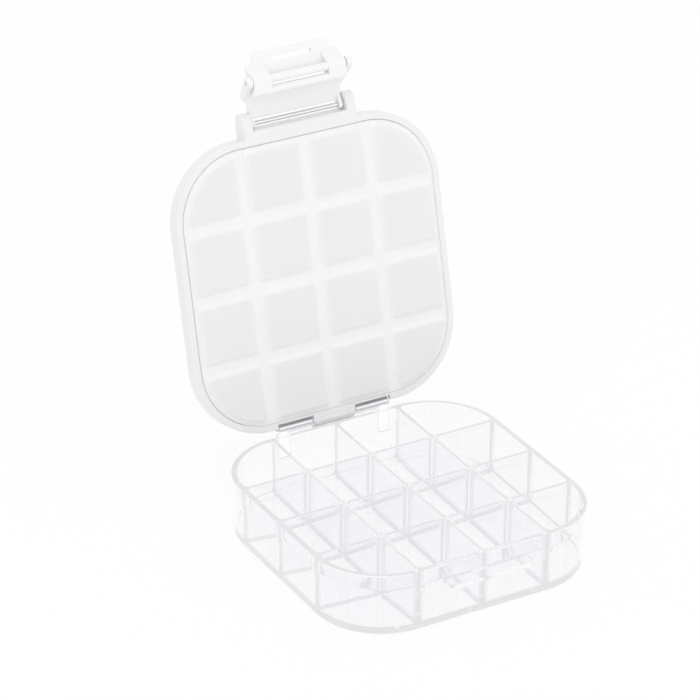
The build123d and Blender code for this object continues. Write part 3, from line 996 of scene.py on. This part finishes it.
join_prism(lid, lambda points: points, "UNION", stop_nib(), -KNUCKLE_HALF + FLUSH,
           KNUCKLE_HALF - FLUSH, edge=0.1 * MM)
join_prism(lid, with_lid, "DIFFERENCE", circle(HINGE_Y, HINGE_Z, HINGE_BORE), -9 * MM, 9 * MM)
join_prism(lid, with_lid, "DIFFERENCE", circle(A_Y, A_Z, PRESSED_BORE), -BOSS_HALF + 1.0 * MM,
           23 * MM, edge=SHARP)
finish(lid, LID_WHITE, "lid", "lid")

# %% [markdown]
# ## The silicone pad
# The pad fills the lid's recess. It has a low raised square for each compartment, with
# soft edges, as cast silicone has. The squares have the compartments' outlines, so the
# same loops are used again, and only the profile differs.

# %% Build the pad
PAD_FACE = LID_FACE + 0.1 * MM
PAD_HALF = LID_HALF - LID_RIM_FACE - 0.1 * MM
PAD_CORNER = LID_CORNER - LID_RIM_FACE - 0.1 * MM
PAD_BLOCK = 1.0 * MM
BLOCK_INSET = 1.1 * MM
BLOCK_SOFT = 1.1 * MM


def block_profile():
    """Inset and height of a raised square's edge: a smooth step from the sheet to its top."""
    t = np.linspace(0, 1, 11)
    rise = t * t * (3 - 2 * t)
    inset = BLOCK_INSET + BLOCK_SOFT * (2 * t - 0.6)
    return list(zip(inset, PAD_FACE - PAD_BLOCK * rise))


def pad_grids():
    """The pad's face, edge and back."""
    outline = rounded_outline(PAD_HALF, PAD_CORNER, 0.0)
    edge = np.stack([level(outline, PAD_FACE), level(outline, PAD_SEAT)])
    grids = [edge, closing_rings(edge[1], np.array([0.0, 0.0, PAD_SEAT]), 4)]
    inner_corner = TRAY_CORNER - RIM_WALL
    for a in (0, 1):
        for b in (0, 1):
            rings = np.stack([
                level(mouth(a, b, inner_half, inner_corner, DIVIDER, POCKET_CORNER + BLOCK_INSET, d), z)
                for d, z in block_profile()
            ])
            sheet = level(region_loop(a, b, PAD_HALF, PAD_CORNER, 0.0), PAD_FACE)
            grids += [np.stack([sheet, rings[0]]), rings]
            grids.append(closing_rings(rings[-1], rings[-1][:-1].mean(0)))
    return four_quarters(grids)


pad = built("silicone_pad", pad_grids(), with_lid)
SILICONE = milky_silicone(HINGE_Y, HINGE_Z, LID_OPEN, PAD_FACE, PAD_BLOCK)
finish(pad, SILICONE, "seal_pad", "lid")

# %% [markdown]
# ## The yoke
# The yoke hangs from the lid's ears. It is a plate with two knuckles on the yoke pin
# and two cheeks that carry the lever's pin. Between the plate and the lid stays a long
# slot, in which the steel pin shows.

# %% Build the yoke
KNUCKLE_OUTER = BOSS_HALF - LATCH_EAR - 0.3 * MM
CHEEK_INNER = KNUCKLE_OUTER + 0.3 * MM
CHEEK_OUTER = CHEEK_INNER + 2.0 * MM
YOKE_IN = CATCH_FRONT - 0.25 * MM
YOKE_PLATE = 1.5 * MM
YOKE_OUT = YOKE_IN - YOKE_PLATE
YOKE_LOW = 15.5 * MM
LUG_SIDE = YOKE_LOW + 2.4 * MM
yoke_middle = YOKE_OUT + YOKE_PLATE / 2
yoke_outline = both_sides([
    (-KNUCKLE_OUTER, A_Z - 1.4 * MM, 0),
    (-KNUCKLE_OUTER, LUG_SIDE + 2.2 * MM, 0.6 * MM),
    (-CHEEK_OUTER, LUG_SIDE, 0.6 * MM),
    (-CHEEK_OUTER, YOKE_LOW, 0.7 * MM),
])
yoke = built("yoke", [prism(yoke_outline, YOKE_OUT, YOKE_IN, "y", 0.3 * MM)], with_yoke)
knuckle = hull_of_circles([
    (A_Y, A_Z, 1.6 * MM),
    (yoke_middle, A_Z - 3.45 * MM, YOKE_PLATE / 2 - FLUSH),
])
cheek = hull_of_circles([
    (B_Y, B_Z, 2.0 * MM),
    (YOKE_OUT + 0.2 * MM + FLUSH, LUG_SIDE - 0.2 * MM, 0.2 * MM),
    (YOKE_IN - 0.2 * MM - FLUSH, LUG_SIDE - 0.2 * MM, 0.2 * MM),
    (YOKE_OUT + 0.2 * MM + FLUSH, LUG_SIDE - 1.3 * MM, 0.2 * MM),
])
for side in (-1, 1):
    ends = sorted((side * (KNUCKLE_OUTER - FLUSH), side * (KNUCKLE_OUTER - 1.6 * MM)))
    join_prism(yoke, with_yoke, "UNION", knuckle, *ends, edge=0.2 * MM)
    ends = sorted((side * CHEEK_INNER, side * (CHEEK_OUTER - FLUSH)))
    join_prism(yoke, with_yoke, "UNION", cheek, *ends, edge=0.12 * MM)
for y, z, radius in ((A_Y, A_Z, RUNNING_BORE), (B_Y, B_Z, PRESSED_BORE)):
    join_prism(yoke, with_yoke, "DIFFERENCE", circle(y, z, radius), -22 * MM, 22 * MM, edge=SHARP)
finish(yoke, LATCH_WHITE, "latch_yoke", "latch_yoke")

# %% [markdown]
# ## The lever
# The lever is what the finger pulls: a handle plate with a slot, two arms, a barrel on
# the pin, and the round hook bar that goes under the tray's catch. A slit stays open
# between the barrel and the handle plate.

# %% Build the lever
LEVER_HALF = KNUCKLE_OUTER
LEVER_PLATE = 1.5 * MM
LEVER_IN = B_Y - 1.5 * MM - 0.4 * MM
LEVER_TOP = B_Z + 1.0 * MM
ARM_END = B_Z - 5.4 * MM
TIP_HALF = 15.0 * MM
TIP_END = 0.6 * MM
WINDOW_HALF = 8.0 * MM
WINDOW_UP = 0.8 * MM
ARM_WIDTH = 7.0 * MM
lever_middle = LEVER_IN - LEVER_PLATE / 2
handle = both_sides([
    (-LEVER_HALF, LEVER_TOP, 0),
    (-LEVER_HALF, ARM_END, 0.8 * MM),
    (-TIP_HALF, ARM_END - 1.8 * MM, 0.6 * MM),
    (-TIP_HALF, TIP_END, 1.4 * MM),
])
lever = built("lever", [prism(handle, LEVER_IN - LEVER_PLATE, LEVER_IN, "y", 0.35 * MM)], with_lever)
window_z = B_Z - 6.8 * MM
window = rounded_corners([
    (-WINDOW_HALF, window_z - WINDOW_UP, 0.5 * MM),
    (WINDOW_HALF, window_z - WINDOW_UP, 0.5 * MM),
    (WINDOW_HALF, window_z + WINDOW_UP, 0.5 * MM),
    (-WINDOW_HALF, window_z + WINDOW_UP, 0.5 * MM),
])
join_prism(lever, with_lever, "DIFFERENCE", window, LEVER_IN - 3 * MM, LEVER_IN + 1 * MM, along="y",
           edge=SHARP)
lever_arm = hull_of_circles([
    (B_Y, B_Z, 1.8 * MM),
    (C_Y, C_Z, 1.5 * MM),
    (lever_middle, LEVER_TOP - LEVER_PLATE / 2, LEVER_PLATE / 2),
    (lever_middle, ARM_END, LEVER_PLATE / 2 - FLUSH),
])
for side in (-1, 1):
    ends = sorted((side * LEVER_HALF, side * (LEVER_HALF - ARM_WIDTH)))
    join_prism(lever, with_lever, "UNION", lever_arm, *ends, edge=0.3 * MM)
for y, z, radius in ((B_Y, B_Z, 1.49 * MM), (C_Y, C_Z, 1.48 * MM)):
    join_prism(lever, with_lever, "UNION", circle(y, z, radius, 64), -LEVER_HALF + 1 * MM,
               LEVER_HALF - 1 * MM)
join_prism(lever, with_lever, "DIFFERENCE", circle(B_Y, B_Z, RUNNING_BORE), -20 * MM, 20 * MM)
finish(lever, LATCH_WHITE, "latch_lever", "latch_lever")

# %% [markdown]
# ## The three pins
# Each pin is a straight wire with slightly rounded ends, pressed in at both sides. The
# table gives its radius and its two ends in mm.

# %% Build the pins
PINS = (
    ("hinge_pin_wire", "hinge_pin", "tray", HINGE_Y, HINGE_Z, 0.9, -22.3, 22.3, with_lid),
    ("yoke_pin_wire", "yoke_pin", "lid", A_Y, A_Z, 0.8, -21.3, 22.1, with_lid),
    ("lever_pin_wire", "lever_pin", "latch_yoke", B_Y, B_Z, 0.8, -20.4, 20.4, with_yoke),
)
for name, node, body, y, z, radius, x0, x1, carry in PINS:
    wire = built(name, [prism(circle(y, z, radius * MM, 40), x0 * MM, x1 * MM, edge=0.15 * MM)], carry)
    finish(wire, STEEL, node, body)

# %% [markdown]
# ## Floor, backdrop and light
# A product photograph like this stands on white and is lit from all round. The floor
# is white to the camera, and to glass and metal, through Light Path, and it still
# takes a part of the object's shadow. The lamps stay at a plain level.

# %% Floor and light
FLOOR_SIZE = 6.0
SHADOW_SHARE = 0.22
AIR = 0.05 * MM
WHITE = (1, 1, 1, 1)
FLOOR_TONE = "FAFAFA"
ROOM_LIGHT = 0.95
LAMP_SIZE = 0.9
LAMP_AIM = (0, 0.02, 0.05)


def white_floor():
    """White floor that shows a faint shadow to the camera and plain white in glass and metal."""
    material, tree, output = new_material("floor_white")
    path = add_node(tree, "ShaderNodeLightPath")
    paint = add_node(tree, "ShaderNodeBsdfDiffuse", Color=linear(FLOOR_TONE))
    glow = add_node(tree, "ShaderNodeEmission", Color=WHITE, Strength=1.0)
    seen = add_node(tree, "ShaderNodeMath", {"operation": "MULTIPLY", "use_clamp": True},
                    n0=path.outputs["Is Camera Ray"], n1=1 - SHADOW_SHARE)
    through = add_node(tree, "ShaderNodeMath", {"operation": "MAXIMUM", "use_clamp": True},
                       n0=path.outputs["Is Glossy Ray"], n1=path.outputs["Is Transmission Ray"])
    share = add_node(tree, "ShaderNodeMath", {"operation": "MAXIMUM", "use_clamp": True},
                     n0=seen.outputs[0], n1=through.outputs[0])
    mix = add_node(tree, "ShaderNodeMixShader", n0=share.outputs[0], n1=paint.outputs[0],
                   n2=glow.outputs[0])
    tree.links.new(mix.outputs[0], output.inputs["Surface"])
    return material


half = FLOOR_SIZE / 2
corners = np.array([[-half, -half, -AIR], [half, -half, -AIR], [half, half, -AIR], [-half, half, -AIR]])
floor = make_object("floor", corners, np.array([[0, 1, 2, 3]]))
floor.data.materials.append(white_floor())


def soft_lamp(name, spot, power):
    """A square area lamp at spot, turned to LAMP_AIM."""
    data = bpy.data.lights.new(name, "AREA")
    data.size = LAMP_SIZE
    data.energy = power
    lamp = bpy.data.objects.new(name, data)
    bpy.context.scene.collection.objects.link(lamp)
    lamp.location = spot
    lamp.rotation_euler = (Vector(LAMP_AIM) - Vector(spot)).to_track_quat("-Z", "Y").to_euler()
    return lamp


soft_lamp("key", (-0.45, -0.2, 1.3), 1.6)
soft_lamp("fill", (0.4, -1.15, 0.35), 1.3)


def surround():
    """White for the camera, metal and glass; a dimmer white as light on the object."""
    world = bpy.data.worlds.new("studio")
    bpy.context.scene.world = world
    world.use_nodes = True
    tree = world.node_tree
    tree.nodes.clear()
    output = tree.nodes.new("ShaderNodeOutputWorld")
    path = add_node(tree, "ShaderNodeLightPath")
    seen = add_node(tree, "ShaderNodeMath", {"operation": "MAXIMUM"},
                    n0=path.outputs["Is Camera Ray"], n1=path.outputs["Is Glossy Ray"])
    clear = add_node(tree, "ShaderNodeMath", {"operation": "MAXIMUM", "use_clamp": True},
                     n0=seen.outputs[0], n1=path.outputs["Is Transmission Ray"])
    dim = add_node(tree, "ShaderNodeBackground", Color=WHITE, Strength=ROOM_LIGHT)
    bright = add_node(tree, "ShaderNodeBackground", Color=WHITE, Strength=1.0)
    mix = add_node(tree, "ShaderNodeMixShader", n0=clear.outputs[0], n1=dim.outputs[0],
                   n2=bright.outputs[0])
    tree.links.new(mix.outputs[0], output.inputs["Surface"])


surround()
bpy.context.scene.view_settings.view_transform = "Standard"
